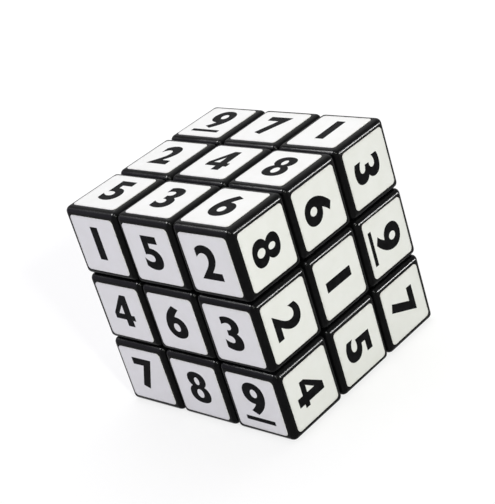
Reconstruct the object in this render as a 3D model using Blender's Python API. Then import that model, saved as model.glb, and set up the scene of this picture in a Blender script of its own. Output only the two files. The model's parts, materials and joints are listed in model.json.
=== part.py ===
"""Number puzzle cube with three layers that turn about all six faces.

A six-armed core carries one screw on each arm. Each screw holds a spring-loaded centre, which is
closed by a cap. Twelve edges and eight corners hook their feet under the centres and under each
other, in a spherical shell round the core, so that every face can turn without coming apart.

Frame: metres, +Z up, front at -Y, right at +X, origin in the middle of the core, where the six
turning axes meet. Each piece is modelled about that origin and then turned to its place: a centre
stack along +Z, an edge between +Y and +Z, a corner between +X, +Y and +Z.
"""

import itertools
import math

import bmesh
import bpy
from mathutils import Matrix
from mathutils import Vector

# Outside of the cube
CUBE_SIZE = 0.057
LAYER_GAP = 0.0003
EDGE_FILLET = 0.0015

# Raised stickers, let a little into the plastic that carries them
STICKER_MARGIN = 0.0001
STICKER_CORNER = 0.0010
STICKER_THICKNESS = 0.00015
STICKER_ROOT = 0.0004

# Clearance between pieces that seat on or in each other
SEAT_GAP = 0.0003

# Screw, washer and spring on each arm of the core
SCREW_RADIUS = 0.0015
SCREW_TIP = 0.0008
HEAD_HEIGHT = 0.0018
WASHER_THICKNESS = 0.0006
WIRE_RADIUS = 0.00035
COIL_PLAY = 0.0006
COIL_TURNS = 4

# Centre and its cap
CAP_THICKNESS = 0.0038
PLUG_LENGTH = 0.0020
ROOF_THICKNESS = 0.0020
COLUMN_WALL = 0.0019
LEDGE_THICKNESS = 0.0017

# Spherical shell that the feet of edges and corners slide in
SHELL_PLAY = 0.0005
FOOT_DEPTH = 0.0098

# Core: arms, the shoulder of the hub round each arm, and the web left between the screw holes
ARM_RADIUS = 0.0038
HUB_SHOULDER = 0.0004
HUB_CHAMFER = 0.0012
HUB_WEB = 0.0016
HOLE_TIP = 0.0006

# Facets
FILLET_SEGMENTS = 2
STICKER_SEGMENTS = 2
TURN_STEPS = 12
BALL_CELLS = 6
COIL_POINTS = 8
COIL_RESOLUTION = 0
SMOOTH_ANGLE = math.radians(35)
MERGE_DISTANCE = 0.000001

# Cells of the three layers
FACE = CUBE_SIZE / 2
CUT = CUBE_SIZE / 6
CELL_LOW = CUT + LAYER_GAP / 2
CELL_HALF = CUT - LAYER_GAP / 2
OUTER_MIDDLE = (CELL_LOW + FACE) / 2
STICKER_HALF = CELL_HALF - EDGE_FILLET - STICKER_MARGIN

# Radii of the centre stack, from the screw outwards
COIL_RADIUS = SCREW_RADIUS + COIL_PLAY + WIRE_RADIUS
HEAD_RADIUS = COIL_RADIUS + WIRE_RADIUS
BORE_RADIUS = HEAD_RADIUS + SEAT_GAP
HOLE_RADIUS = SCREW_RADIUS + SEAT_GAP
COLUMN_HALF = BORE_RADIUS + COLUMN_WALL
NECK_HALF = COLUMN_HALF - LAYER_GAP
FOOT_LOW = COLUMN_HALF + LAYER_GAP

# Heights above the middle of the core, from the face inwards
CAP_BOTTOM = FACE - CAP_THICKNESS
PLATE_TOP = CAP_BOTTOM - SEAT_GAP
PLUG_BOTTOM = CAP_BOTTOM - PLUG_LENGTH
HEAD_TOP = PLUG_BOTTOM - SEAT_GAP
HEAD_BOTTOM = HEAD_TOP - HEAD_HEIGHT
WASHER_TOP = HEAD_BOTTOM - SEAT_GAP
WASHER_BOTTOM = WASHER_TOP - WASHER_THICKNESS
COIL_TOP = WASHER_BOTTOM - SEAT_GAP

# Shell radii, and the heights that follow from the core's reach into it
ROOF_RADIUS = PLATE_TOP - ROOF_THICKNESS
FOOT_OUTER = ROOF_RADIUS - SHELL_PLAY
FOOT_INNER = FOOT_OUTER - FOOT_DEPTH
ARM_END = math.sqrt((FOOT_INNER - SHELL_PLAY) ** 2 - ARM_RADIUS ** 2)
COLUMN_BOTTOM = ARM_END + SEAT_GAP
LEDGE = COLUMN_BOTTOM + LEDGE_THICKNESS
COIL_BOTTOM = LEDGE + SEAT_GAP
HUB_HALF = ARM_RADIUS + HUB_SHOULDER + HUB_CHAMFER
HOLE_BOTTOM = HOLE_RADIUS + HUB_WEB
SCREW_END = HOLE_BOTTOM + HOLE_TIP

FACES = {
    "up": Vector((0, 0, 1)),
    "down": Vector((0, 0, -1)),
    "right": Vector((1, 0, 0)),
    "left": Vector((-1, 0, 0)),
    "front": Vector((0, -1, 0)),
    "back": Vector((0, 1, 0)),
}
X_FACES = ("right", "left")
Y_FACES = ("front", "back")
Z_FACES = ("up", "down")


def mesh_from(shape: bmesh.types.BMesh, name: str) -> bpy.types.Mesh:
    """Store a shape as a mesh and free it."""
    mesh = bpy.data.meshes.new(name)
    shape.to_mesh(mesh)
    shape.free()
    return mesh


def box_shape(low: tuple, high: tuple) -> bmesh.types.BMesh:
    """Make an upright box between two opposite corners."""
    low = Vector(low)
    high = Vector(high)
    shape = bmesh.new()
    place = Matrix.Translation((low + high) / 2) @ Matrix.Diagonal((*(high - low), 1))
    bmesh.ops.create_cube(shape, size=1, matrix=place)
    return shape


def box(low: tuple, high: tuple) -> bpy.types.Mesh:
    """Make a plain box between two opposite corners."""
    return mesh_from(box_shape(low, high), "box")


def rounded_block(low: tuple, high: tuple) -> bmesh.types.BMesh:
    """Make the visible block of a piece, with all its edges filleted."""
    shape = box_shape(low, high)
    round_off(shape, shape.edges[:], EDGE_FILLET, FILLET_SEGMENTS)
    return shape


def round_off(shape: bmesh.types.BMesh, edges: list, size: float, segments: int) -> None:
    """Round some edges of a shape, or chamfer them where there is one segment."""
    bmesh.ops.bevel(shape, geom=edges, offset=size, segments=segments, profile=0.5, affect="EDGES")


def ball(radius: float) -> bpy.types.Mesh:
    """Make a ball from a cube grid with equal angles, which looks the same along all six axes."""
    shape = box_shape((-1, -1, -1), (1, 1, 1))
    bmesh.ops.subdivide_edges(shape, edges=shape.edges[:], cuts=BALL_CELLS - 1, use_grid_fill=True)
    for vert in shape.verts:
        spread = Vector([math.tan(value * math.pi / 4) for value in vert.co])
        vert.co = spread.normalized() * radius
    bmesh.ops.triangulate(shape, faces=shape.faces[:])
    return mesh_from(shape, "ball")


def turned(profile: list[tuple[float, float]]) -> bpy.types.Mesh:
    """Spin a profile of (radius, height) points about Z, closing it where it stays off the axis."""
    shape = bmesh.new()
    verts = [shape.verts.new((radius, 0, height)) for radius, height in profile]
    path = verts + verts[:1] if profile[0][0] > 0 else verts
    edges = [shape.edges.new(pair) for pair in zip(path, path[1:])]
    bmesh.ops.spin(
        shape,
        geom=verts + edges,
        cent=(0, 0, 0),
        axis=(0, 0, 1),
        angle=math.tau,
        steps=TURN_STEPS,
    )
    bmesh.ops.remove_doubles(shape, verts=shape.verts[:], dist=MERGE_DISTANCE)
    bmesh.ops.recalc_face_normals(shape, faces=shape.faces[:])
    return mesh_from(shape, "turned")


def combine(operation: str, first: bpy.types.Mesh, *others: bpy.types.Mesh) -> bpy.types.Mesh:
    """Join, cut or intersect a mesh with others, one after the other."""
    scene_objects = bpy.context.scene.collection.objects
    workpiece = bpy.data.objects.new("workpiece", first)
    scene_objects.link(workpiece)
    tools = []
    for other in others:
        tool = bpy.data.objects.new("tool", other)
        tool.hide_render = True
        tool.display_type = "WIRE"
        scene_objects.link(tool)
        tools.append(tool)
        step = workpiece.modifiers.new(operation.lower(), "BOOLEAN")
        step.operation = operation
        step.solver = "EXACT"
        step.object = tool
    depsgraph = bpy.context.evaluated_depsgraph_get()
    result = bpy.data.meshes.new_from_object(workpiece.evaluated_get(depsgraph))
    for item in (workpiece, *tools):
        bpy.data.objects.remove(item)
    return result


def turned_copy(mesh: bpy.types.Mesh, turn: Matrix) -> bpy.types.Mesh:
    """Copy a mesh and turn the copy about the origin."""
    copy = mesh.copy()
    copy.transform(turn)
    return copy


def keep_beyond(shape: bmesh.types.BMesh, direction: tuple, distance: float) -> bpy.types.Mesh:
    """Slice a shape square to a direction, keep what lies beyond a distance along it, and close it."""
    normal = Vector(direction).normalized()
    bmesh.ops.bisect_plane(
        shape,
        geom=shape.verts[:] + shape.edges[:] + shape.faces[:],
        plane_co=normal * distance,
        plane_no=normal,
        clear_inner=True,
    )
    rim = [edge for edge in shape.edges if edge.is_boundary]
    bmesh.ops.holes_fill(shape, edges=rim)
    return mesh_from(shape, "slice")


def sticker(across: float, along: float) -> bpy.types.Mesh:
    """Make one sticker on the upper face, with its middle at the given place."""
    shape = box_shape(
        (across - STICKER_HALF, along - STICKER_HALF, FACE - STICKER_ROOT),
        (across + STICKER_HALF, along + STICKER_HALF, FACE + STICKER_THICKNESS),
    )
    upright = [edge for edge in shape.edges if edge.verts[0].co.xy == edge.verts[1].co.xy]
    round_off(shape, upright, STICKER_CORNER, STICKER_SEGMENTS)
    return mesh_from(shape, "sticker")


def foot(low: tuple, high: tuple, outwards: tuple) -> bpy.types.Mesh:
    """Give a box a flat sole towards the core and trim it to the ball that all feet slide in."""
    return combine("INTERSECT", keep_beyond(box_shape(low, high), outwards, FOOT_INNER), ball(FOOT_OUTER))


def corner_mesh() -> bpy.types.Mesh:
    """Model a corner: block, three stickers and a foot that spreads under its three edges."""
    block = rounded_block((CELL_LOW, CELL_LOW, CELL_LOW), (FACE, FACE, FACE))
    hook = foot((FOOT_LOW, FOOT_LOW, FOOT_LOW), (ROOF_RADIUS, ROOF_RADIUS, ROOF_RADIUS), (1, 1, 1))
    top = sticker(OUTER_MIDDLE, OUTER_MIDDLE)
    turns = [Matrix.Rotation(math.tau * third / 3, 4, Vector((1, 1, 1))) for third in range(3)]
    stickers = [turned_copy(top, turn) for turn in turns]
    return combine("UNION", mesh_from(block, "block"), hook, *stickers)


def edge_mesh() -> bpy.types.Mesh:
    """Model an edge: hollowed block, two stickers, and a neck down to a foot under two centres."""
    block = rounded_block((-CELL_HALF, CELL_LOW, CELL_LOW), (CELL_HALF, FACE, FACE))
    hollowed = combine("DIFFERENCE", mesh_from(block, "block"), ball(ROOF_RADIUS))
    neck_low = CELL_LOW + LAYER_GAP
    neck = box((-NECK_HALF, neck_low, neck_low), (NECK_HALF, OUTER_MIDDLE, OUTER_MIDDLE))
    hook = foot((-COLUMN_HALF, FOOT_LOW, FOOT_LOW), (COLUMN_HALF, ROOF_RADIUS, ROOF_RADIUS), (0, 1, 1))
    top = sticker(0, OUTER_MIDDLE)
    side = turned_copy(top, Matrix.Rotation(math.pi, 4, Vector((0, 1, 1))))
    return combine("UNION", hollowed, neck, hook, top, side)


def centre_block() -> bmesh.types.BMesh:
    """Make the visible block that a centre and its cap share."""
    return rounded_block((-CELL_HALF, -CELL_HALF, CELL_LOW), (CELL_HALF, CELL_HALF, FACE))


def centre_mesh() -> bpy.types.Mesh:
    """Model a centre: domed plate and square column, bored for the screw and its spring."""
    plate = combine("DIFFERENCE", keep_beyond(centre_block(), (0, 0, -1), -PLATE_TOP), ball(ROOF_RADIUS))
    column_top = PLATE_TOP - ROOF_THICKNESS / 2
    column = box((-COLUMN_HALF, -COLUMN_HALF, COLUMN_BOTTOM), (COLUMN_HALF, COLUMN_HALF, column_top))
    bore = turned([
        (0, COLUMN_BOTTOM - LEDGE_THICKNESS),
        (HOLE_RADIUS, COLUMN_BOTTOM - LEDGE_THICKNESS),
        (HOLE_RADIUS, LEDGE),
        (BORE_RADIUS, LEDGE),
        (BORE_RADIUS, PLATE_TOP + ROOF_THICKNESS),
        (0, PLATE_TOP + ROOF_THICKNESS),
    ])
    return combine("DIFFERENCE", combine("UNION", plate, column), bore)


def cap_mesh() -> bpy.types.Mesh:
    """Model a centre's cap: top of the block, plug into the bore, and one sticker."""
    lid = keep_beyond(centre_block(), (0, 0, 1), CAP_BOTTOM)
    plug_top = CAP_BOTTOM + CAP_THICKNESS / 2
    plug = turned([
        (0, PLUG_BOTTOM),
        (HEAD_RADIUS, PLUG_BOTTOM),
        (HEAD_RADIUS, plug_top),
        (0, plug_top),
    ])
    return combine("UNION", lid, plug, sticker(0, 0))


def screw_mesh() -> bpy.types.Mesh:
    """Model a screw: pan head with a softened rim, shank and blunt tip."""
    return turned([
        (0, HEAD_TOP),
        (HEAD_RADIUS - HEAD_HEIGHT / 2, HEAD_TOP),
        (HEAD_RADIUS, HEAD_TOP - HEAD_HEIGHT / 2),
        (HEAD_RADIUS, HEAD_BOTTOM),
        (SCREW_RADIUS, HEAD_BOTTOM),
        (SCREW_RADIUS, SCREW_END + SCREW_TIP),
        (SCREW_RADIUS - SCREW_TIP, SCREW_END),
        (0, SCREW_END),
    ])


def washer_mesh() -> bpy.types.Mesh:
    """Model the flat washer between the spring and the screw's head."""
    return turned([
        (HOLE_RADIUS, WASHER_TOP),
        (HEAD_RADIUS, WASHER_TOP),
        (HEAD_RADIUS, WASHER_BOTTOM),
        (HOLE_RADIUS, WASHER_BOTTOM),
    ])


def spring_curve() -> bpy.types.Curve:
    """Model the spring as one unbroken round wire wound round the screw."""
    curve = bpy.data.curves.new("spring", "CURVE")
    curve.dimensions = "3D"
    curve.bevel_depth = WIRE_RADIUS
    curve.bevel_resolution = COIL_RESOLUTION
    curve.use_fill_caps = True
    count = COIL_TURNS * COIL_POINTS + 1
    low = COIL_BOTTOM + WIRE_RADIUS
    rise = COIL_TOP - WIRE_RADIUS - low
    wire = curve.splines.new("POLY")
    wire.points.add(count - 1)
    for index, point in enumerate(wire.points):
        angle = math.tau * index / COIL_POINTS
        height = low + rise * index / (count - 1)
        point.co = (COIL_RADIUS * math.cos(angle), COIL_RADIUS * math.sin(angle), height, 1)
    print("Least gap between the spring's turns:", rise / COIL_TURNS - 2 * WIRE_RADIUS)
    return curve


def core_mesh() -> bpy.types.Mesh:
    """Model the core: chamfered hub and six arms, each with a blind hole for its screw."""
    hub = box_shape((-HUB_HALF, -HUB_HALF, -HUB_HALF), (HUB_HALF, HUB_HALF, HUB_HALF))
    round_off(hub, hub.edges[:], HUB_CHAMFER, 1)
    arm = turned([
        (0, HUB_HALF - HUB_CHAMFER),
        (ARM_RADIUS, HUB_HALF - HUB_CHAMFER),
        (ARM_RADIUS, ARM_END),
        (0, ARM_END),
    ])
    hole = turned([
        (0, HOLE_BOTTOM),
        (HOLE_RADIUS, HOLE_BOTTOM),
        (HOLE_RADIUS, ARM_END + HOLE_TIP),
        (0, ARM_END + HOLE_TIP),
    ])
    turns = [stack_turn(normal) for normal in FACES.values()]
    arms = [turned_copy(arm, turn) for turn in turns]
    holes = [turned_copy(hole, turn) for turn in turns]
    return combine("DIFFERENCE", combine("UNION", mesh_from(hub, "hub"), *arms), *holes)


def turn_onto(x_axis: Vector, y_axis: Vector, z_axis: Vector) -> Matrix:
    """Return the turn that takes the model's axes to three square directions."""
    return Matrix((x_axis, y_axis, z_axis)).transposed().to_4x4()


def stack_turn(normal: Vector) -> Matrix:
    """Return the turn that takes a centre stack from +Z to a face."""
    side = Vector((normal.y, normal.z, normal.x))
    return turn_onto(side, normal.cross(side), normal)


def edge_turn(first: Vector, second: Vector) -> Matrix:
    """Return the turn that takes an edge from +Y and +Z to two faces."""
    return turn_onto(first.cross(second), first, second)


def corner_turn(first: Vector, second: Vector, third: Vector) -> Matrix:
    """Return the turn that takes a corner from +X, +Y and +Z to three faces."""
    if first.cross(second).dot(third) < 0:
        first, second = second, first
    return turn_onto(first, second, third)


def finish(name: str, colour: tuple, roughness: float, metallic: float) -> bpy.types.Material:
    """Make a plain material."""
    material = bpy.data.materials.new(name)
    material.use_nodes = True
    shader = material.node_tree.nodes["Principled BSDF"]
    shader.inputs["Base Color"].default_value = (*colour, 1)
    shader.inputs["Roughness"].default_value = roughness
    shader.inputs["Metallic"].default_value = metallic
    return material


def paint(mesh: bpy.types.Mesh, plastic: bpy.types.Material, vinyl: bpy.types.Material) -> None:
    """Give the plastic its material, and the faces that stand proud of the cube the stickers' one."""
    mesh.materials.clear()
    mesh.materials.append(plastic)
    mesh.materials.append(vinyl)
    proud = FACE + STICKER_THICKNESS / 4
    for face in mesh.polygons:
        face.material_index = int(max(abs(value) for value in face.center) > proud)
    soften(mesh)


def soften(mesh: bpy.types.Mesh) -> None:
    """Shade round surfaces smooth and keep crisp edges crisp."""
    mesh.shade_smooth()
    mesh.set_sharp_from_angle(angle=SMOOTH_ANGLE)


def add_piece(name: str, data: bpy.types.ID, turn: Matrix, carrier: bpy.types.Object | None) -> bpy.types.Object:
    """Add a named piece, turned to its place and carried by another piece."""
    piece = bpy.data.objects.new(name, data)
    piece.matrix_basis = turn
    if carrier:
        piece.parent = carrier
        piece.matrix_parent_inverse = carrier.matrix_basis.inverted()
    bpy.context.scene.collection.objects.link(piece)
    return piece


def add_core_and_stacks() -> dict[str, bpy.types.Object]:
    """Add the core and, on each arm, the screw, washer, spring, centre and cap."""
    black = finish("black_abs", (0.012, 0.012, 0.013), 0.28, 0.0)
    white = finish("white_vinyl", (0.86, 0.86, 0.86), 0.45, 0.0)
    nylon = finish("grey_nylon", (0.20, 0.20, 0.21), 0.50, 0.0)
    steel = finish("zinc_plated_steel", (0.60, 0.60, 0.58), 0.30, 1.0)
    wire = finish("spring_steel", (0.42, 0.42, 0.44), 0.25, 1.0)

    meshes = {"screw": screw_mesh(), "washer": washer_mesh(), "spring": spring_curve()}
    metals = {"screw": steel, "washer": steel, "spring": wire}
    for kind, data in meshes.items():
        data.materials.append(metals[kind])
    centre = centre_mesh()
    cap = cap_mesh()
    core_shape = core_mesh()
    core_shape.materials.append(nylon)
    for mesh in (core_shape, meshes["screw"], meshes["washer"]):
        soften(mesh)
    for mesh in (centre, cap):
        paint(mesh, black, white)

    core = add_piece("core", core_shape, Matrix.Identity(4), None)
    centres = {}
    for face, normal in FACES.items():
        turn = stack_turn(normal)
        for kind, data in meshes.items():
            add_piece(f"{kind}_{face}", data, turn, core)
        centres[face] = add_piece(f"centre_{face}", centre, turn, core)
        add_piece(f"centre_cap_{face}", cap, turn, centres[face])
    return centres


def add_edges_and_corners(centres: dict[str, bpy.types.Object]) -> None:
    """Add each edge on the centre that carries it, and each corner on its edge between Z and X."""
    black = bpy.data.materials["black_abs"]
    white = bpy.data.materials["white_vinyl"]
    edge = edge_mesh()
    corner = corner_mesh()
    paint(edge, black, white)
    paint(corner, black, white)

    edges = {}
    for carriers, others in ((Z_FACES, X_FACES), (X_FACES, Y_FACES), (Y_FACES, Z_FACES)):
        for carrier, other in itertools.product(carriers, others):
            turn = edge_turn(FACES[carrier], FACES[other])
            edges[carrier, other] = add_piece(f"edge_{carrier}_{other}", edge, turn, centres[carrier])
    for level, side, depth in itertools.product(Z_FACES, X_FACES, Y_FACES):
        turn = corner_turn(FACES[level], FACES[side], FACES[depth])
        add_piece(f"corner_{level}_{side}_{depth}", corner, turn, edges[level, side])


def main() -> None:
    """Clear the scene and build the cube."""
    for item in list(bpy.data.objects):
        bpy.data.objects.remove(item)
    centres = add_core_and_stacks()
    add_edges_and_corners(centres)


main()
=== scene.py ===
"""Number puzzle cube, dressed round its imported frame.

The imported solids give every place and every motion. This script puts finely filleted mouldings in
place of the blocks, lays a printed sticker on each outside flat, makes the mechanism inside anew with
its threads and coils, and sets up a plain white studio with the camera at the photograph's angle.

Frame: metres, +Z up, front at -Y, right at +X, origin in the middle of the core. Each moulding is
shaped about that origin and then turned to its cell: a centre along +Z, an edge between +Y and +Z, a
corner between +X, +Y and +Z.
"""

import itertools
import json
import logging
import math
import random
from dataclasses import dataclass
from enum import Enum

import bmesh
import bpy
from mathutils import Matrix, Vector

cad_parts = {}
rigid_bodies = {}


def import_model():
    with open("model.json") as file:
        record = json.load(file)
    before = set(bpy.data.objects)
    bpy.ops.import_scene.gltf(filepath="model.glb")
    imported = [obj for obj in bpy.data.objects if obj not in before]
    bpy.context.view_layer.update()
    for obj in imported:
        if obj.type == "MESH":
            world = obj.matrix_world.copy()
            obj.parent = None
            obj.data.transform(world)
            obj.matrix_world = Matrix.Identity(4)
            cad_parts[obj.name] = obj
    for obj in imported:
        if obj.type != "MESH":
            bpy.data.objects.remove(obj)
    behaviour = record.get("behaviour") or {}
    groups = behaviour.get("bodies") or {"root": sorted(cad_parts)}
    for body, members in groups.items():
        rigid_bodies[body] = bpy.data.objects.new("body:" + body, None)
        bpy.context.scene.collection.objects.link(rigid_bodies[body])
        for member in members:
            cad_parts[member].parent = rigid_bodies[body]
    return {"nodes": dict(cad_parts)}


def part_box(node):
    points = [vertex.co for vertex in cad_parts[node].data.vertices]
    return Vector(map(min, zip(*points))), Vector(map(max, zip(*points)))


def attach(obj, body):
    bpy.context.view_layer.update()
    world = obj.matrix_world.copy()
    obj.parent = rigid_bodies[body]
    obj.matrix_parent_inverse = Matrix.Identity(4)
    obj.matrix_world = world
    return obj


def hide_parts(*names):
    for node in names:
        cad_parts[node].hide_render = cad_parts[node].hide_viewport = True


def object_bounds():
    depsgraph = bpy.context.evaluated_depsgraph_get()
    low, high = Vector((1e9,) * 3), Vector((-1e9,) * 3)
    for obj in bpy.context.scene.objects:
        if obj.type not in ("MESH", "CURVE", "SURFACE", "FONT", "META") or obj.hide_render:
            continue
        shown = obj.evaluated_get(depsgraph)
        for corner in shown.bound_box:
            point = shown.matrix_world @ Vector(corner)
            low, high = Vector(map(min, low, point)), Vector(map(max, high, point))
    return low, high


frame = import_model()
CAD_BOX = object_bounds()

LOG = logging.getLogger("number_cube")
MM = 0.001
MERGE_DISTANCE = 0.0005 * MM
SMOOTH_ANGLE = math.radians(35)

# Clearance between pieces that seat on or in each other
SEAT_GAP = 0.3 * MM
# Half the width of the screws' shanks, and of the holes that they pass through
SHANK_RADIUS = 1.5 * MM
SCREW_HOLE = SHANK_RADIUS + SEAT_GAP
# How far a solid reaches past another one's face where the two are joined or one cuts the other
OVERLAP = 1.0 * MM

# Names of what the mouldings and the stickers store at their points, for their finishes to read
EDGE_RUB = "edge_rub"
HANDLED = "handled"
RIM_SOIL = "rim_soil"

# Noise lies mostly between these values, and Map Range nodes spread it from there
NOISE_SPREAD = {"From Min": 0.35, "From Max": 0.65}
# Sockets of a Mix node that mixes two colours
SHARE, PLAIN, OTHER, MIXED = 0, 6, 7, 2

Point = tuple[float, float, float]
Colour = tuple[float, float, float, float]
# One step of a numeral's outline, with two numbers if it is straight, and the closed loop of its steps
Step = tuple[float, ...]
Loop = list[Step]
STRAIGHT_STEP = 2


def linear(colour: str) -> Colour:
    """Turn an sRGB hex colour into the linear values that shaders take.

    Args:
        colour: Six hex digits after a hash sign.

    Returns:
        Linear red, green and blue, and an alpha of 1.
    """
    parts = [int(colour[start:start + 2], 16) / 255 for start in (1, 3, 5)]
    red, green, blue = (
        part / 12.92 if part <= 0.04045 else ((part + 0.055) / 1.055) ** 2.4 for part in parts
    )
    return red, green, blue, 1.0


WHITE = linear("#FFFFFF")


def per_metre(size_mm: float) -> float:
    """Give the texture scale at which one feature of a pattern is this many millimetres wide."""
    return 1 / (size_mm * MM)


def add_node(
    tree: bpy.types.NodeTree,
    kind: str,
    inputs: dict[str | int, object] | None = None,
    **settings: object,
) -> bpy.types.Node:
    """Add one node, with its settings and with its inputs set or linked.

    Args:
        tree: Node tree that gets the node.
        kind: Type name of the node.
        inputs: Values, or output sockets to link, by the input's name or index.
        **settings: Properties of the node.

    Returns:
        The new node.
    """
    node = tree.nodes.new(kind)
    for name, value in settings.items():
        setattr(node, name, value)
    for key, value in (inputs or {}).items():
        if isinstance(value, bpy.types.NodeSocket):
            tree.links.new(value, node.inputs[key])
        else:
            node.inputs[key].default_value = value
    return node


def looked_at(tree: bpy.types.NodeTree) -> bpy.types.NodeSocket:
    """Tell where a background is looked at, directly, in a reflection or through glass.

    Args:
        tree: Node tree of the floor or the world.

    Returns:
        1 for such rays, 0 for the rays that carry light to the cube.
    """
    path = add_node(tree, "ShaderNodeLightPath").outputs
    mirrored = add_node(
        tree,
        "ShaderNodeMath",
        {0: path["Is Glossy Ray"], 1: path["Is Transmission Ray"]},
        operation="MAXIMUM",
    )
    seen = add_node(
        tree, "ShaderNodeMath", {0: path["Is Camera Ray"], 1: mirrored.outputs[0]}, operation="MAXIMUM"
    )
    return seen.outputs[0]


class Side(Enum):
    """One face of the cube, by its outward direction."""

    UP = (0, 0, 1)
    DOWN = (0, 0, -1)
    RIGHT = (1, 0, 0)
    LEFT = (-1, 0, 0)
    FRONT = (0, -1, 0)
    BACK = (0, 1, 0)

    @property
    def normal(self) -> Vector:
        """Outward direction of the face."""
        return Vector(self.value)

    @property
    def word(self) -> str:
        """Name of the face in the names of bodies and nodes."""
        return self.name.lower()


class BlockKind(Enum):
    """Kind of block, by the number of faces of the cube that it shows."""

    CENTRE = 1
    EDGE = 2
    CORNER = 3

    @property
    def shown_axes(self) -> range:
        """Axes along which the block reaches the outside, before it is turned to its cell."""
        return range(3 - self.value, 3)


class Meeting(Enum):
    """What becomes of two solids that meet."""

    JOIN = "UNION"
    CUT = "DIFFERENCE"
    TRIM = "INTERSECT"


class Sheen(Enum):
    """Mouldings in whose gloss a lamp is mirrored without lighting anything."""

    ALL = "glossy_pieces"
    RIGHT_LAYER = "glossy_right_layer"

    @property
    def pieces(self) -> bpy.types.Collection:
        """Find the collection of these mouldings, or make it at its first use."""
        return bpy.data.collections.get(self.value) or bpy.data.collections.new(self.value)


@dataclass(frozen=True)
class Cell:
    """One outside cell of the three layers, by its steps from the middle along X, Y and Z."""

    steps: tuple[int, int, int]

    @classmethod
    def all_outside(cls) -> list["Cell"]:
        """List the 26 cells that show on the outside."""
        return [cls(steps) for steps in itertools.product((-1, 0, 1), repeat=3) if any(steps)]

    @property
    def sides(self) -> list[Side]:
        """Find the faces that the cell shows.

        Returns:
            The faces in the order in which the cell's body names them.
        """
        steps = Vector(self.steps)
        shown = {axis: side for side in Side for axis in range(3) if side.normal[axis] * steps[axis] > 0}
        found = [shown[axis] for axis in (2, 0, 1) if axis in shown]
        return found if 0 in shown else found[::-1]

    @property
    def kind(self) -> BlockKind:
        """Kind of block that fills the cell."""
        return BlockKind(len(self.sides))

    @property
    def body(self) -> str:
        """Name of the body that fills the cell."""
        return "_".join([self.kind.name.lower(), *(side.word for side in self.sides)])

    @property
    def turn(self) -> Matrix:
        """Find the turn that takes a piece from where it is shaped to this cell.

        Returns:
            The turn about the middle of the core.
        """
        normals = [side.normal for side in self.sides]
        if self.kind is BlockKind.CENTRE:
            up = normals[0]
            across = Vector((up.y, up.z, up.x))
            axes = (across, up.cross(across), up)
        elif self.kind is BlockKind.EDGE:
            axes = (normals[0].cross(normals[1]), *normals)
        else:
            first, second, third = normals
            axes = (first, second, third) if first.cross(second).dot(third) > 0 else (second, first, third)
        return Matrix(axes).transposed().to_4x4()


@dataclass(frozen=True)
class Finish:
    """A finish that is made once, as a node material, and shared by all the pieces that have it."""

    name: str

    def material(self) -> bpy.types.Material:
        """Find the finish's material, or make it at its first use.

        Returns:
            The material.
        """
        found = bpy.data.materials.get(self.name)
        if found is None:
            found = bpy.data.materials.new(self.name)
            found.use_nodes = True
            found.node_tree.nodes.clear()
            self.wire(found.node_tree)
        return found

    def wire(self, tree: bpy.types.NodeTree) -> None:
        """Build the finish in an empty node tree; each finish says how."""
        raise NotImplementedError


@dataclass(frozen=True)
class MouldedAbs(Finish):
    """Black ABS from a polished mould, smudged by fingers, and evenly dulled on the cube's outer edges."""

    colour: str = "#070708"
    rubbed: str = "#111112"
    rub_mm: float = 1.1
    polished: float = 0.16
    smudged: float = 0.26
    smudge_mm: float = 7.0
    dulled: float = 0.24
    ripple_mm: float = 2.2
    ripple_depth_mm: float = 0.003
    ior: float = 1.54
    # Far below what the IOR gives, because the studio is white all round and the black has to stay deep
    shine: float = 0.04

    def wire(self, tree: bpy.types.NodeTree) -> None:
        """Build the gloss, its smudges, the ripple of the mould and the rubbed edges.

        Args:
            tree: Empty node tree of the material.
        """
        place = add_node(tree, "ShaderNodeTexCoord").outputs["Object"]
        edge = add_node(tree, "ShaderNodeAttribute", attribute_name=EDGE_RUB)
        patches = add_node(tree, "ShaderNodeTexNoise", {
            "Vector": place,
            "Scale": per_metre(self.rub_mm),
            "Detail": 3.0,
        })
        worn = add_node(tree, "ShaderNodeMapRange", {**NOISE_SPREAD, "Value": patches.outputs["Fac"]})
        rub = add_node(tree, "ShaderNodeMath", {
            0: edge.outputs["Fac"],
            1: worn.outputs["Result"],
        }, operation="MULTIPLY")
        black = add_node(tree, "ShaderNodeMix", {
            SHARE: rub.outputs[0],
            PLAIN: linear(self.colour),
            OTHER: linear(self.rubbed),
        }, data_type="RGBA")
        smudges = add_node(tree, "ShaderNodeTexNoise", {
            "Vector": place,
            "Scale": per_metre(self.smudge_mm),
            "Detail": 5.0,
        })
        gloss = add_node(tree, "ShaderNodeMapRange", {
            **NOISE_SPREAD,
            "Value": smudges.outputs["Fac"],
            "To Min": self.polished,
            "To Max": self.smudged,
        })
        handled = add_node(tree, "ShaderNodeAttribute", attribute_name=HANDLED)
        roughness = add_node(tree, "ShaderNodeMapRange", {
            "Value": handled.outputs["Fac"],
            "To Min": gloss.outputs["Result"],
            "To Max": self.dulled,
        })
        ripple = add_node(tree, "ShaderNodeTexNoise", {
            "Vector": place,
            "Scale": per_metre(self.ripple_mm),
            "Detail": 1.0,
        })
        bump = add_node(tree, "ShaderNodeBump", {
            "Height": ripple.outputs["Fac"],
            "Strength": 1.0,
            "Distance": self.ripple_depth_mm * MM,
        })
        shader = add_node(tree, "ShaderNodeBsdfPrincipled", {
            "Base Color": black.outputs[MIXED],
            "Roughness": roughness.outputs["Result"],
            "IOR": self.ior,
            "Specular IOR Level": self.shine,
            "Normal": bump.outputs["Normal"],
        })
        add_node(tree, "ShaderNodeOutputMaterial", {"Surface": shader.outputs["BSDF"]})


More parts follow.
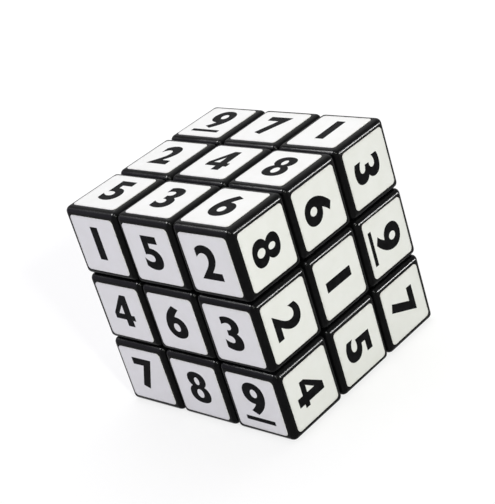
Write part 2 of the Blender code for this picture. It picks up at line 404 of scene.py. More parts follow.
@dataclass(frozen=True)
class PrintVinyl(Finish):
    """White calendered vinyl film, faintly clouded and grained, soiled at its rim."""

    colour: str = "#EFEFEE"
    cloud: str = "#ECECEA"
    cloud_mm: float = 4.0
    soiled: str = "#D3D1CC"
    soil_mm: float = 0.9
    soil_most: float = 0.6
    smooth: float = 0.40
    rough: float = 0.52
    # The real grain is about 0.1 mm; it is drawn four times as coarse, so that it shows at all
    grain_mm: float = 0.4
    grain_depth_mm: float = 0.004
    ior: float = 1.53
    shine: float = 0.10

    def wire(self, tree: bpy.types.NodeTree) -> None:
        """Build the white, its clouds, the soiled rim and the grain.

        Args:
            tree: Empty node tree of the material.
        """
        place = add_node(tree, "ShaderNodeTexCoord").outputs["Object"]
        clouds = add_node(tree, "ShaderNodeTexNoise", {
            "Vector": place,
            "Scale": per_metre(self.cloud_mm),
            "Detail": 4.0,
        })
        cloudy = add_node(tree, "ShaderNodeMapRange", {**NOISE_SPREAD, "Value": clouds.outputs["Fac"]})
        white = add_node(tree, "ShaderNodeMix", {
            SHARE: cloudy.outputs["Result"],
            PLAIN: linear(self.colour),
            OTHER: linear(self.cloud),
        }, data_type="RGBA")
        rim = add_node(tree, "ShaderNodeAttribute", attribute_name=RIM_SOIL)
        dirt = add_node(tree, "ShaderNodeTexNoise", {
            "Vector": place,
            "Scale": per_metre(self.soil_mm),
            "Detail": 4.0,
        })
        caught = add_node(tree, "ShaderNodeMapRange", {
            **NOISE_SPREAD,
            "Value": dirt.outputs["Fac"],
            "To Max": self.soil_most,
        })
        soil = add_node(tree, "ShaderNodeMath", {
            0: rim.outputs["Fac"],
            1: caught.outputs["Result"],
        }, operation="MULTIPLY")
        tone = add_node(tree, "ShaderNodeMix", {
            SHARE: soil.outputs[0],
            PLAIN: white.outputs[MIXED],
            OTHER: linear(self.soiled),
        }, data_type="RGBA")
        grain = add_node(tree, "ShaderNodeTexNoise", {
            "Vector": place,
            "Scale": per_metre(self.grain_mm),
            "Detail": 2.0,
        })
        roughness = add_node(tree, "ShaderNodeMapRange", {
            **NOISE_SPREAD,
            "Value": grain.outputs["Fac"],
            "To Min": self.smooth,
            "To Max": self.rough,
        })
        bump = add_node(tree, "ShaderNodeBump", {
            "Height": grain.outputs["Fac"],
            "Strength": 1.0,
            "Distance": self.grain_depth_mm * MM,
        })
        shader = add_node(tree, "ShaderNodeBsdfPrincipled", {
            "Base Color": tone.outputs[MIXED],
            "Roughness": roughness.outputs["Result"],
            "IOR": self.ior,
            "Specular IOR Level": self.shine,
            "Normal": bump.outputs["Normal"],
        })
        add_node(tree, "ShaderNodeOutputMaterial", {"Surface": shader.outputs["BSDF"]})


@dataclass(frozen=True)
class ScreenInk(Finish):
    """Screen-printed black ink, a little uneven in its cover."""

    colour: str = "#0B0B0C"
    thin: str = "#161618"
    cover_mm: float = 1.4
    smooth: float = 0.42
    rough: float = 0.60
    # The mesh of the screen leaves a grain of about 0.1 mm, drawn coarser here so that it shows
    grain_mm: float = 0.35
    grain_depth_mm: float = 0.004
    ior: float = 1.50
    # Matting agents keep the ink from shining
    shine: float = 0.02

    def wire(self, tree: bpy.types.NodeTree) -> None:
        """Build the ink's cover and its grain.

        Args:
            tree: Empty node tree of the material.
        """
        place = add_node(tree, "ShaderNodeTexCoord").outputs["Object"]
        patches = add_node(tree, "ShaderNodeTexNoise", {
            "Vector": place,
            "Scale": per_metre(self.cover_mm),
            "Detail": 5.0,
        })
        cover = add_node(tree, "ShaderNodeMapRange", {**NOISE_SPREAD, "Value": patches.outputs["Fac"]})
        black = add_node(tree, "ShaderNodeMix", {
            SHARE: cover.outputs["Result"],
            PLAIN: linear(self.colour),
            OTHER: linear(self.thin),
        }, data_type="RGBA")
        grain = add_node(tree, "ShaderNodeTexNoise", {
            "Vector": place,
            "Scale": per_metre(self.grain_mm),
            "Detail": 2.0,
        })
        roughness = add_node(tree, "ShaderNodeMapRange", {
            **NOISE_SPREAD,
            "Value": grain.outputs["Fac"],
            "To Min": self.smooth,
            "To Max": self.rough,
        })
        bump = add_node(tree, "ShaderNodeBump", {
            "Height": grain.outputs["Fac"],
            "Strength": 1.0,
            "Distance": self.grain_depth_mm * MM,
        })
        shader = add_node(tree, "ShaderNodeBsdfPrincipled", {
            "Base Color": black.outputs[MIXED],
            "Roughness": roughness.outputs["Result"],
            "IOR": self.ior,
            "Specular IOR Level": self.shine,
            "Normal": bump.outputs["Normal"],
        })
        add_node(tree, "ShaderNodeOutputMaterial", {"Surface": shader.outputs["BSDF"]})


@dataclass(frozen=True)
class MouldedNylon(Finish):
    """Grey nylon from a spark-eroded mould."""

    colour: str = "#6E6F72"
    shade: str = "#5C5D60"
    pit_mm: float = 0.5
    pit_depth_mm: float = 0.02
    smooth: float = 0.42
    rough: float = 0.58
    ior: float = 1.53

    def wire(self, tree: bpy.types.NodeTree) -> None:
        """Build the waxy grey and its pitted skin.

        Args:
            tree: Empty node tree of the material.
        """
        place = add_node(tree, "ShaderNodeTexCoord").outputs["Object"]
        pits = add_node(tree, "ShaderNodeTexNoise", {
            "Vector": place,
            "Scale": per_metre(self.pit_mm),
            "Detail": 3.0,
        })
        pitted = add_node(tree, "ShaderNodeMapRange", {**NOISE_SPREAD, "Value": pits.outputs["Fac"]})
        grey = add_node(tree, "ShaderNodeMix", {
            SHARE: pitted.outputs["Result"],
            PLAIN: linear(self.colour),
            OTHER: linear(self.shade),
        }, data_type="RGBA")
        roughness = add_node(tree, "ShaderNodeMapRange", {
            **NOISE_SPREAD,
            "Value": pits.outputs["Fac"],
            "To Min": self.smooth,
            "To Max": self.rough,
        })
        bump = add_node(tree, "ShaderNodeBump", {
            "Height": pits.outputs["Fac"],
            "Strength": 1.0,
            "Distance": self.pit_depth_mm * MM,
        })
        shader = add_node(tree, "ShaderNodeBsdfPrincipled", {
            "Base Color": grey.outputs[MIXED],
            "Roughness": roughness.outputs["Result"],
            "IOR": self.ior,
            "Normal": bump.outputs["Normal"],
        })
        add_node(tree, "ShaderNodeOutputMaterial", {"Surface": shader.outputs["BSDF"]})


@dataclass(frozen=True)
class BareSteel(Finish):
    """Steel that is zinc plated or left as drawn wire."""

    colour: str
    bloom: str
    bloom_mm: float
    # Crystals of the plating and draw marks are about 0.03 mm; they are drawn coarser, so that they show
    grain_mm: float
    bright: float = 0.22
    dull: float = 0.38

    def wire(self, tree: bpy.types.NodeTree) -> None:
        """Build the bright metal, its bloom and its fine grain.

        Args:
            tree: Empty node tree of the material.
        """
        place = add_node(tree, "ShaderNodeTexCoord").outputs["Object"]
        clouds = add_node(tree, "ShaderNodeTexNoise", {
            "Vector": place,
            "Scale": per_metre(self.bloom_mm),
            "Detail": 4.0,
        })
        bloom = add_node(tree, "ShaderNodeMapRange", {**NOISE_SPREAD, "Value": clouds.outputs["Fac"]})
        metal = add_node(tree, "ShaderNodeMix", {
            SHARE: bloom.outputs["Result"],
            PLAIN: linear(self.colour),
            OTHER: linear(self.bloom),
        }, data_type="RGBA")
        grain = add_node(tree, "ShaderNodeTexNoise", {
            "Vector": place,
            "Scale": per_metre(self.grain_mm),
            "Detail": 2.0,
        })
        roughness = add_node(tree, "ShaderNodeMapRange", {
            **NOISE_SPREAD,
            "Value": grain.outputs["Fac"],
            "To Min": self.bright,
            "To Max": self.dull,
        })
        shader = add_node(tree, "ShaderNodeBsdfPrincipled", {
            "Base Color": metal.outputs[MIXED],
            "Metallic": 1.0,
            "Roughness": roughness.outputs["Result"],
        })
        add_node(tree, "ShaderNodeOutputMaterial", {"Surface": shader.outputs["BSDF"]})


@dataclass(frozen=True)
class StudioPaper(Finish):
    """Pale paper that looks white, also in reflections, and still takes the cube's soft shadow."""

    colour: str = "#CBCBCB"
    fibre: str = "#BEBEBE"
    fibre_mm: float = 3.0
    fibre_most: float = 0.15
    glow: float = 0.74
    shadow: str = "#909090"
    # How far from the middle, in metres, the lamps' light starts to fade and how far it reaches
    lamplit: float = 0.12
    lampless: float = 0.6

    def wire(self, tree: bpy.types.NodeTree) -> None:
        """Build the paper, brightened to white where it is looked at, also where the lamps don't reach.

        Args:
            tree: Empty node tree of the material.
        """
        place = add_node(tree, "ShaderNodeTexCoord").outputs["Object"]
        felt = add_node(tree, "ShaderNodeTexNoise", {
            "Vector": place,
            "Scale": per_metre(self.fibre_mm),
            "Detail": 5.0,
        })
        fibres = add_node(tree, "ShaderNodeMapRange", {
            **NOISE_SPREAD,
            "Value": felt.outputs["Fac"],
            "To Max": self.fibre_most,
        })
        tone = add_node(tree, "ShaderNodeMix", {
            SHARE: fibres.outputs["Result"],
            PLAIN: linear(self.colour),
            OTHER: linear(self.fibre),
        }, data_type="RGBA")
        paper = add_node(tree, "ShaderNodeBsdfDiffuse", {"Color": tone.outputs[MIXED]})
        reach = add_node(tree, "ShaderNodeVectorMath", {0: place}, operation="LENGTH")
        strength = add_node(tree, "ShaderNodeMapRange", {
            "Value": reach.outputs["Value"],
            "From Min": self.lamplit,
            "From Max": self.lampless,
            "To Min": self.glow,
            "To Max": 1.0,
        })
        glow = add_node(tree, "ShaderNodeEmission", {
            "Color": WHITE,
            "Strength": strength.outputs["Result"],
        })
        shadowed = add_node(tree, "ShaderNodeBsdfDiffuse", {"Color": linear(self.shadow)})
        white = add_node(tree, "ShaderNodeAddShader", {0: glow.outputs[0], 1: shadowed.outputs[0]})
        surface = add_node(tree, "ShaderNodeMixShader", {
            0: looked_at(tree),
            1: paper.outputs[0],
            2: white.outputs[0],
        })
        add_node(tree, "ShaderNodeOutputMaterial", {"Surface": surface.outputs[0]})


# ABS from a polished mould: a deep black that mirrors lamps as sharp dots and lines on its fillets,
# with a gloss that is cloudy where fingers smudged it, and a hint of grey where its edges are rubbed
BLACK_ABS = MouldedAbs("abs_moulded_gloss_black")
# Calendered vinyl film: an even, faintly warm white with a satin skin, and a thin grey rim of dirt
WHITE_VINYL = PrintVinyl("vinyl_film_satin_white")
# Screen-printed ink: a dull near-black with soft patches where its cover is thin
BLACK_INK = ScreenInk("ink_screen_printed_black")
# Nylon from a spark-eroded mould: a waxy mid grey with a fine pitted skin and a broad, soft shine
GREY_NYLON = MouldedNylon("nylon_moulded_grey")
# Zinc plating: a bright, faintly yellow silver with a cloudy bloom
ZINC_STEEL = BareSteel("steel_zinc_plated", "#C3C2BC", "#9D9C97", 1.2, 0.15)
# Spring wire as it was drawn: a darker, colder silver with fine dull marks
SPRING_STEEL = BareSteel("steel_drawn_wire", "#9A9A9E", "#7E7E84", 0.8, 0.1)
# Matt background paper: plain white, with no shine
FLOOR_PAPER = StudioPaper("paper_floor_white")


class Workpiece:
    """A shape under way, from a first box, ball or outline to a finished mesh."""

    def __init__(self) -> None:
        """Start with nothing."""
        self.shape = bmesh.new()

    @classmethod
    def box(cls, low: Point, high: Point) -> "Workpiece":
        """Start from an upright box.

        Args:
            low: Lowest corner.
            high: Highest corner.

        Returns:
            The box.
        """
        start, end = Vector(low), Vector(high)
        place = Matrix.Translation((start + end) / 2) @ Matrix.Diagonal((*(end - start), 1))
        piece = cls()
        bmesh.ops.create_cube(piece.shape, size=1, matrix=place)
        return piece

    @classmethod
    def ball(cls, radius: float, rings: int) -> "Workpiece":
        """Start from a ball about the origin.

        Args:
            radius: Radius of the ball.
            rings: Facets from pole to pole.

        Returns:
            The ball.
        """
        piece = cls()
        bmesh.ops.create_uvsphere(piece.shape, u_segments=2 * rings, v_segments=rings, radius=radius)
        return piece

    @classmethod
    def outline(cls, points: list[tuple[float, float]], closed: bool = False) -> "Workpiece":
        """Start from an outline beside the Z axis.

        Args:
            points: Radius and height of each point.
            closed: Whether the last point goes back to the first.

        Returns:
            The outline.
        """
        piece = cls()
        verts = [piece.shape.verts.new((radius, 0, height)) for radius, height in points]
        for pair in zip(verts, verts[1:] + verts[:1] if closed else verts[1:]):
            piece.shape.edges.new(pair)
        return piece

    @classmethod
    def wire_section(cls, radius: float, middle: Point, points: int) -> "Workpiece":
        """Start from the round section of a wire that runs along Y.

        Args:
            radius: Radius of the wire.
            middle: Middle of the section.
            points: Points round the section.

        Returns:
            The section.
        """
        piece = cls()
        place = Matrix.Translation(middle) @ Matrix.Rotation(math.pi / 2, 4, "X")
        bmesh.ops.create_circle(piece.shape, segments=points, radius=radius, matrix=place)
        return piece

    def turn(self, steps: int) -> "Workpiece":
        """Turn the outline once about Z, as on a lathe.

        Args:
            steps: Facets round the axis.

        Returns:
            This workpiece.
        """
        bmesh.ops.spin(
            self.shape,
            geom=self.shape.verts[:] + self.shape.edges[:],
            cent=(0, 0, 0),
            axis=(0, 0, 1),
            angle=math.tau,
            steps=steps,
            use_merge=True,
        )
        bmesh.ops.remove_doubles(self.shape, verts=self.shape.verts[:], dist=MERGE_DISTANCE)
        bmesh.ops.recalc_face_normals(self.shape, faces=self.shape.faces[:])
        return self

    def wind(self, runs: list[tuple[float, float]], steps: int) -> "Workpiece":
        """Wind the closed outline about Z and close its two ends.

        Args:
            runs: Number of turns in each run, and how far each turn of it climbs.
            steps: Facets in one turn.

        Returns:
            This workpiece.
        """
        last = self.shape.verts[:] + self.shape.edges[:]
        for turns, climb in runs:
            wound = bmesh.ops.spin(
                self.shape,
                geom=last,
                cent=(0, 0, 0),
                axis=(0, 0, 1),
                dvec=(0, 0, climb / steps),
                angle=turns * math.tau,
                steps=round(turns * steps),
            )
            last = wound["geom_last"]
        bmesh.ops.holes_fill(self.shape, edges=[edge for edge in self.shape.edges if edge.is_boundary])
        bmesh.ops.recalc_face_normals(self.shape, faces=self.shape.faces[:])
        return self

    def rim(self, height: float) -> list[bmesh.types.BMEdge]:
        """Find the round edge of a turned workpiece at a height.

        Args:
            height: Height of the edge.

        Returns:
            The edge's facets.
        """
        found = []
        for edge in self.shape.edges:
            level = all(abs(vert.co.z - height) < MERGE_DISTANCE for vert in edge.verts)
            if level and all(vert.co.xy.length > MERGE_DISTANCE for vert in edge.verts):
                found.append(edge)
        return found

    def round_off(self, edges: list[bmesh.types.BMEdge], size: float, segments: int) -> "Workpiece":
        """Fillet some edges.

        Args:
            edges: Edges to fillet.
            size: Radius of the fillet.
            segments: Facets across it.

        Returns:
            This workpiece.
        """
        bmesh.ops.bevel(
            self.shape,
            geom=edges,
            offset=size,
            segments=segments,
            profile=0.5,
            affect="EDGES",
            material=-1,
        )
        return self

    def keep_beyond(self, direction: Point, distance: float) -> "Workpiece":
        """Slice square to a direction, keep what lies beyond a distance along it, and close the cut.

        Args:
            direction: Direction from the origin.
            distance: Distance of the cut from the origin.

        Returns:
            This workpiece.
        """
        normal = Vector(direction).normalized()
        bmesh.ops.bisect_plane(
            self.shape,
            geom=self.shape.verts[:] + self.shape.edges[:] + self.shape.faces[:],
            plane_co=normal * distance,
            plane_no=normal,
            clear_inner=True,
        )
        bmesh.ops.holes_fill(self.shape, edges=[edge for edge in self.shape.edges if edge.is_boundary])
        return self

    def mesh(self, name: str) -> bpy.types.Mesh:
        """Store the shape as a mesh and let go of it.

        Args:
            name: Name of the mesh.

        Returns:
            The mesh.
        """
        mesh = bpy.data.meshes.new(name)
        self.shape.to_mesh(mesh)
        self.shape.free()
        return mesh


def combine(meeting: Meeting, first: bpy.types.Mesh, *others: bpy.types.Mesh) -> bpy.types.Mesh:
    """Join, cut or trim a mesh with others, one after the other.

    Args:
        meeting: What becomes of the meshes where they meet.
        first: Mesh to work on.
        *others: Meshes to work with.

    Returns:
        The resulting mesh.
    """
    linked = bpy.context.scene.collection.objects
    workpiece = bpy.data.objects.new("workpiece", first)
    linked.link(workpiece)
    tools = []
    for other in others:
        tool = bpy.data.objects.new("tool", other)
        linked.link(tool)
        tools.append(tool)
        step = workpiece.modifiers.new(meeting.name.lower(), "BOOLEAN")
        step.operation = meeting.value
        step.solver = "EXACT"
        step.object = tool
    depsgraph = bpy.context.evaluated_depsgraph_get()
    result = Workpiece()
    result.shape.from_object(workpiece, depsgraph)
    for item in (workpiece, *tools):
        bpy.data.objects.remove(item)
    bmesh.ops.dissolve_degenerate(result.shape, dist=MERGE_DISTANCE, edges=result.shape.edges[:])
    return result.mesh(first.name)


def moved(mesh: bpy.types.Mesh, place: Matrix) -> bpy.types.Mesh:
    """Copy a mesh to another place.

    Args:
        mesh: Mesh to copy.
        place: Turn and shift of the copy.

    Returns:
        The copy.
    """
    copy = mesh.copy()
    copy.transform(place)
    return copy


def add_piece(name: str, mesh: bpy.types.Mesh, body: str, finishes: list[Finish]) -> bpy.types.Object:
    """Add a finished mesh as a piece of the cube.

    Args:
        name: Name of the piece.
        mesh: Mesh, already in its place.
        body: Body that the piece rides on.
        finishes: Finishes of the mesh's material slots.

    Returns:
        The piece.
    """
    mesh.name = name
    for finish in finishes:
        mesh.materials.append(finish.material())
    mesh.shade_smooth()
    mesh.set_sharp_from_angle(angle=SMOOTH_ANGLE)
    piece = bpy.data.objects.new(name, mesh)
    bpy.context.scene.collection.objects.link(piece)
    even = piece.modifiers.new("even_normals", "WEIGHTED_NORMAL")
    even.keep_sharp = True
    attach(piece, body)
    LOG.info("%s rides on %s: %d faces", name, body, len(mesh.polygons))
    return piece


@dataclass
class BlockMoulds:
    """The moulded blocks: filleted outside, with the hooked feet and the bored columns inside."""

    face: float = 28.5 * MM
    layer_gap: float = 0.3 * MM
    cell_low: float = face / 3 + layer_gap / 2
    cell_half: float = face / 3 - layer_gap / 2
    outer_middle: float = (cell_low + face) / 2
    fillet: float = 1.5 * MM
    fillet_segments: int = 6

    plate_top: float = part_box("centre_up")[1].z
    cap_bottom: float = plate_top + SEAT_GAP
    plug_bottom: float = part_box("centre_cap_up")[0].z
    # The plug is as wide as the head of the screw under it
    plug_radius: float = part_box("screw_up")[1].x
    bore_radius: float = plug_radius + SEAT_GAP
    column_wall: float = 1.9 * MM
    column_half: float = bore_radius + column_wall
    column_bottom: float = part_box("centre_up")[0].z
    ledge_thickness: float = 1.7 * MM
    ledge: float = column_bottom + ledge_thickness
    bore_steps: int = 32

    roof_thickness: float = 2.0 * MM
    roof_radius: float = plate_top - roof_thickness
    shell_play: float = 0.5 * MM
    foot_outer: float = roof_radius - shell_play
    foot_depth: float = 9.8 * MM
    foot_inner: float = foot_outer - foot_depth
    soft_edge: float = 0.4 * MM
    soft_segments: int = 3
    ball_rings: int = 48

    def limits(self, kind: BlockKind) -> tuple[Vector, Vector]:
        """Give the room of a block before it is turned to its cell.

        Args:
            kind: Kind of block.

        Returns:
            Its lowest and its highest corner.
        """
        low = Vector((-self.cell_half,) * 3)
        high = Vector((self.cell_half,) * 3)
        for axis in kind.shown_axes:
            low[axis] = self.cell_low
            high[axis] = self.face
        return low, high

    def block(self, kind: BlockKind) -> Workpiece:
        """Make the visible block of a kind, with all its edges filleted."""
        block = Workpiece.box(*self.limits(kind))
        return block.round_off(block.shape.edges[:], self.fillet, self.fillet_segments)

    def foot(self, low: Point, outwards: Point) -> bpy.types.Mesh:
        """Make the hooked foot of an edge or a corner.

        Args:
            low: Lowest corner of the foot's box; its width is the same on both sides of 0.
            outwards: Direction from the core, square to the foot's flat sole.

        Returns:
            The foot, trimmed to the ball that all feet slide in.
        """
        high = [-value if value < 0 else self.roof_radius for value in low]
        sole = Workpiece.box(low, high).keep_beyond(outwards, self.foot_inner)
        sole.round_off(sole.shape.edges[:], self.soft_edge, self.soft_segments)
        ball = Workpiece.ball(self.foot_outer, self.ball_rings)
        return combine(Meeting.TRIM, sole.mesh("sole"), ball.mesh("ball"))

    def hollowed(self, block: Workpiece) -> bpy.types.Mesh:
        """Hollow a block by the round roof that the feet slide under."""
        roof = Workpiece.ball(self.roof_radius, self.ball_rings)
        return combine(Meeting.CUT, block.mesh("block"), roof.mesh("roof"))

    def corner(self) -> bpy.types.Mesh:
        """Shape a corner: block, and a foot that spreads under its three edges.

        Returns:
            The corner between +X, +Y and +Z.
        """
        start = self.column_half + self.layer_gap
        hook = self.foot((start, start, start), (1, 1, 1))
        return combine(Meeting.JOIN, self.block(BlockKind.CORNER).mesh("block"), hook)

    def edge(self) -> bpy.types.Mesh:
        """Shape an edge: hollowed block, neck, and a foot under two centres.

        Returns:
            The edge between +Y and +Z.
        """
        start, end = self.cell_low + self.layer_gap, self.outer_middle
        half = self.column_half - self.layer_gap
        neck = Workpiece.box((-half, start, start), (half, end, end)).mesh("neck")
        low = self.column_half + self.layer_gap
        hook = self.foot((-self.column_half, low, low), (0, 1, 1))
        return combine(Meeting.JOIN, self.hollowed(self.block(BlockKind.EDGE)), neck, hook)

    def centre(self) -> bpy.types.Mesh:
        """Shape a centre: domed plate and square column, bored for the screw and its spring.

        Returns:
            The centre along +Z.
        """
        plate = self.hollowed(self.block(BlockKind.CENTRE).keep_beyond((0, 0, -1), -self.plate_top))
        half = self.column_half
        column = Workpiece.box((-half, -half, self.column_bottom), (half, half, self.plate_top - OVERLAP))
        column.round_off(column.shape.edges[:], self.soft_edge, self.soft_segments)
        bore = Workpiece.outline([
            (0, self.column_bottom - OVERLAP),
            (SCREW_HOLE, self.column_bottom - OVERLAP),
            (SCREW_HOLE, self.ledge),
            (self.bore_radius, self.ledge),
            (self.bore_radius, self.plate_top + OVERLAP),
            (0, self.plate_top + OVERLAP),
        ]).turn(self.bore_steps)
        joined = combine(Meeting.JOIN, plate, column.mesh("column"))
        return combine(Meeting.CUT, joined, bore.mesh("bore"))

    def cap(self) -> bpy.types.Mesh:
        """Shape a centre's cap: top of the block, and a plug into the bore.

        Returns:
            The cap along +Z.
        """
        lid = self.block(BlockKind.CENTRE).keep_beyond((0, 0, 1), self.cap_bottom)
        plug = Workpiece.outline([
            (0, self.plug_bottom),
            (self.plug_radius, self.plug_bottom),
            (self.plug_radius, self.cap_bottom + OVERLAP),
            (0, self.cap_bottom + OVERLAP),
        ]).turn(self.bore_steps)
        return combine(Meeting.JOIN, lid.mesh("lid"), plug.mesh("plug"))

    def mark_edges(self, mesh: bpy.types.Mesh, kind: BlockKind) -> None:
        """Store how far each point lies on a fillet, and on one of the cube's outer edges.

        Args:
            mesh: Moulding, not yet turned to its cell.
            kind: Kind of block that it shows.
        """
        low, high = self.limits(kind)
        rubs = [0.0] * len(mesh.vertices)
        touches = rubs.copy()
        for index, vert in enumerate(mesh.vertices):
            above = high - vert.co
            depths = sorted(min(pair) for pair in zip(above, vert.co - low))
            outside = sorted(above[axis] for axis in kind.shown_axes)
            if depths[0] > -MERGE_DISTANCE:
                rubs[index] = max(0.0, 1 - depths[1] / self.fillet)
                if len(outside) > 1:
                    touches[index] = max(0.0, 1 - outside[1] / self.fillet)
        for name, values in ((EDGE_RUB, rubs), (HANDLED, touches)):
            mesh.attributes.new(name, "FLOAT", "POINT").data.foreach_set("value", values)

    def build(self) -> None:
        """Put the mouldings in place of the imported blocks."""
        shapes = {
            BlockKind.CENTRE: self.centre(),
            BlockKind.EDGE: self.edge(),
            BlockKind.CORNER: self.corner(),
        }
        cap = self.cap()
        for kind, mesh in shapes.items():
            self.mark_edges(mesh, kind)
        self.mark_edges(cap, BlockKind.CENTRE)
        for cell in Cell.all_outside():
            self.place(shapes[cell.kind], cell, cell.body)
            if cell.kind is BlockKind.CENTRE:
                self.place(cap, cell, f"centre_cap_{cell.sides[0].word}")

    @staticmethod
    def place(mesh: bpy.types.Mesh, cell: Cell, node: str) -> None:
        """Turn a copy of a moulding to its cell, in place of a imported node.

        Args:
            mesh: Moulding.
            cell: Cell that it fills.
            node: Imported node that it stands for.
        """
        piece = add_piece(f"moulded_{node}", moved(mesh, cell.turn), cell.body, [BLACK_ABS])
        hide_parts(node)
        Sheen.ALL.pieces.objects.link(piece)
        if Side.RIGHT in cell.sides:
            Sheen.RIGHT_LAYER.pieces.objects.link(piece)


def oval(x: float, y: float, half_width: float, half_height: float) -> Loop:
    """Draw an upright oval as four curved steps.

    Args:
        x: Middle, from left to right.
        y: Middle, from bottom to top.
        half_width: Half of its width.
        half_height: Half of its height.

    Returns:
        Closed loop of steps, as a numeral's outline has them.
    """
    pull = 0.5523  # How far handles reach for a quarter of a circle of radius 1
    loop = []
    for quarter in range(4):
        start = Vector((math.cos(quarter * math.pi / 2), math.sin(quarter * math.pi / 2)))
        end = Vector((-start.y, start.x))
        points = (start + end * pull, end + start * pull, end)
        loop.append(tuple(
            value for point in points for value in (x + point.x * half_width, y + point.y * half_height)
        ))
    return loop


@dataclass
class NumeralSet:
    """Plain bold numerals without serifs, drawn about their middle in millimetres.

    A loop is a row of steps to its next point: two numbers for a straight step, or six for a curved
    one, which are its two handles and the point. A first step with six numbers closes the loop.
    """

    smoothness: int = 8
    nine_lift: float = 0.75
    bar_half: float = 4.65
    bar_top: float = -4.7
    bar_bottom: float = -5.85

    ONE = [[(-1.3, 4.55), (1.3, 4.55), (1.3, -4.55), (-1.3, -4.55)]]
    TWO = [[
        (-3.6, 3.25),
        (-2.85, 4.05, -1.75, 4.5, -0.65, 4.5),
        (1.15, 4.5, 2.35, 3.4, 2.35, 1.75),
        (2.35, 0.35, 1.75, -0.75, 0.15, -2.6),
        (3.1, -2.6),
        (3.1, -4.55),
        (-3.8, -4.55),
        (-1.35, -1.75),
        (-0.4, -0.6, -0.1, 0.15, -0.1, 0.95),
        (-0.1, 1.85, -0.65, 2.35, -1.45, 2.35),
        (-2.2, 2.35, -2.85, 1.95, -3.6, 1.1),
    ]]
    THREE = [[
        (-2.95, 4.2),
        (-2.35, 4.5, -1.55, 4.65, -0.75, 4.65),
        (1.25, 4.65, 2.5, 3.75, 2.5, 2.25),
        (2.5, 1.3, 2.05, 0.6, 1.3, 0.15),
        (2.15, -0.25, 2.7, -0.95, 2.7, -2.0),
        (2.7, -3.7, 1.45, -4.65, -0.5, -4.65),
        (-1.5, -4.65, -2.4, -4.45, -3.15, -4.05),
        (-3.15, -1.85),
        (-2.4, -2.35, -1.7, -2.6, -1.05, -2.6),
        (-0.35, -2.6, 0.05, -2.25, 0.05, -1.7),
        (0.05, -0.95, -0.55, -0.6, -1.65, -0.6),
        (-1.65, 0.85),
        (-0.6, 0.85, 0.0, 1.2, 0.0, 1.9),
        (0.0, 2.5, -0.45, 2.85, -1.15, 2.85),
        (-1.75, 2.85, -2.35, 2.65, -2.95, 2.25),
    ]]
    FOUR = [
        [
            (0.3, 4.55), (2.4, 4.55), (2.4, -1.15), (3.5, -1.15), (3.5, -2.7), (2.4, -2.7),
            (2.4, -4.55), (0, -4.55), (0, -2.7), (-3.7, -2.7), (-3.7, -1.1),
        ],
        [(0, 1.6), (0, -1.05), (-2.05, -1.05)],
    ]
    FIVE = [[
        (-2.25, 4.55),
        (2.9, 4.55),
        (2.9, 2.55),
        (-0.25, 2.55),
        (-0.25, 1.2),
        (1.95, 1.15, 3.25, 0.05, 3.25, -1.65),
        (3.25, -3.5, 1.95, -4.65, -0.1, -4.65),
        (-1.15, -4.65, -2.15, -4.35, -2.95, -3.8),
        (-2.95, -1.65),
        (-2.2, -2.25, -1.5, -2.55, -0.8, -2.55),
        (0.1, -2.55, 0.65, -2.15, 0.65, -1.55),
        (0.65, -0.85, 0.05, -0.5, -0.95, -0.5),
        (-1.45, -0.5, -1.85, -0.55, -2.25, -0.7),
    ]]
    SIX = [
        [
            (-3.55, 0.95, -2.1, 2.85, 0.05, 4.5),
            (2.05, 3.6),
            (1.4, 3.05, 0.6, 2.3, 0.05, 1.4),
            (2.0, 1.4, 3.4, 0.25, 3.4, -1.6),
            (3.4, -3.5, 1.95, -4.75, -0.1, -4.75),
            (-2.15, -4.75, -3.55, -3.45, -3.55, -1.45),
        ],
        oval(-0.2, -1.65, 1.1, 1.2),
    ]
    SEVEN = [[(-3.65, 4.4), (3.45, 4.4), (-0.4, -4.75), (-2.65, -4.0), (0.05, 2.35), (-3.65, 2.35)]]
    EIGHT = [
        [
            (-3.1, 3.65, -1.9, 4.6, 0, 4.6),
            (1.9, 4.6, 3.1, 3.65, 3.1, 2.3),
            (3.1, 1.4, 2.7, 0.75, 2.0, 0.3),
            (2.95, -0.2, 3.45, -1.0, 3.45, -2.0),
            (3.45, -3.65, 2.1, -4.6, 0, -4.6),
            (-2.1, -4.6, -3.45, -3.65, -3.45, -2.0),
            (-3.45, -1.0, -2.95, -0.2, -2.0, 0.3),
            (-2.7, 0.75, -3.1, 1.4, -3.1, 2.3),
        ],
        oval(0, 1.85, 0.85, 1.15),
        oval(0, -1.8, 1.15, 1.3),
    ]

    def loops(self, digit: int) -> list[Loop]:
        """Give a numeral's loops; a nine is a six upside down, with a bar under it.

        Args:
            digit: 1 to 9.

        Returns:
            The loops of its outline.
        """
        plain = (self.ONE, self.TWO, self.THREE, self.FOUR, self.FIVE, self.SIX, self.SEVEN, self.EIGHT)
        if digit <= len(plain):
            return plain[digit - 1]
        lifts = (0, self.nine_lift)
        nine = [
            [tuple(lifts[index % 2] - value for index, value in enumerate(step)) for step in loop]
            for loop in self.SIX
        ]
        half, top, bottom = self.bar_half, self.bar_top, self.bar_bottom
        return [*nine, [(-half, top), (half, top), (half, bottom), (-half, bottom)]]

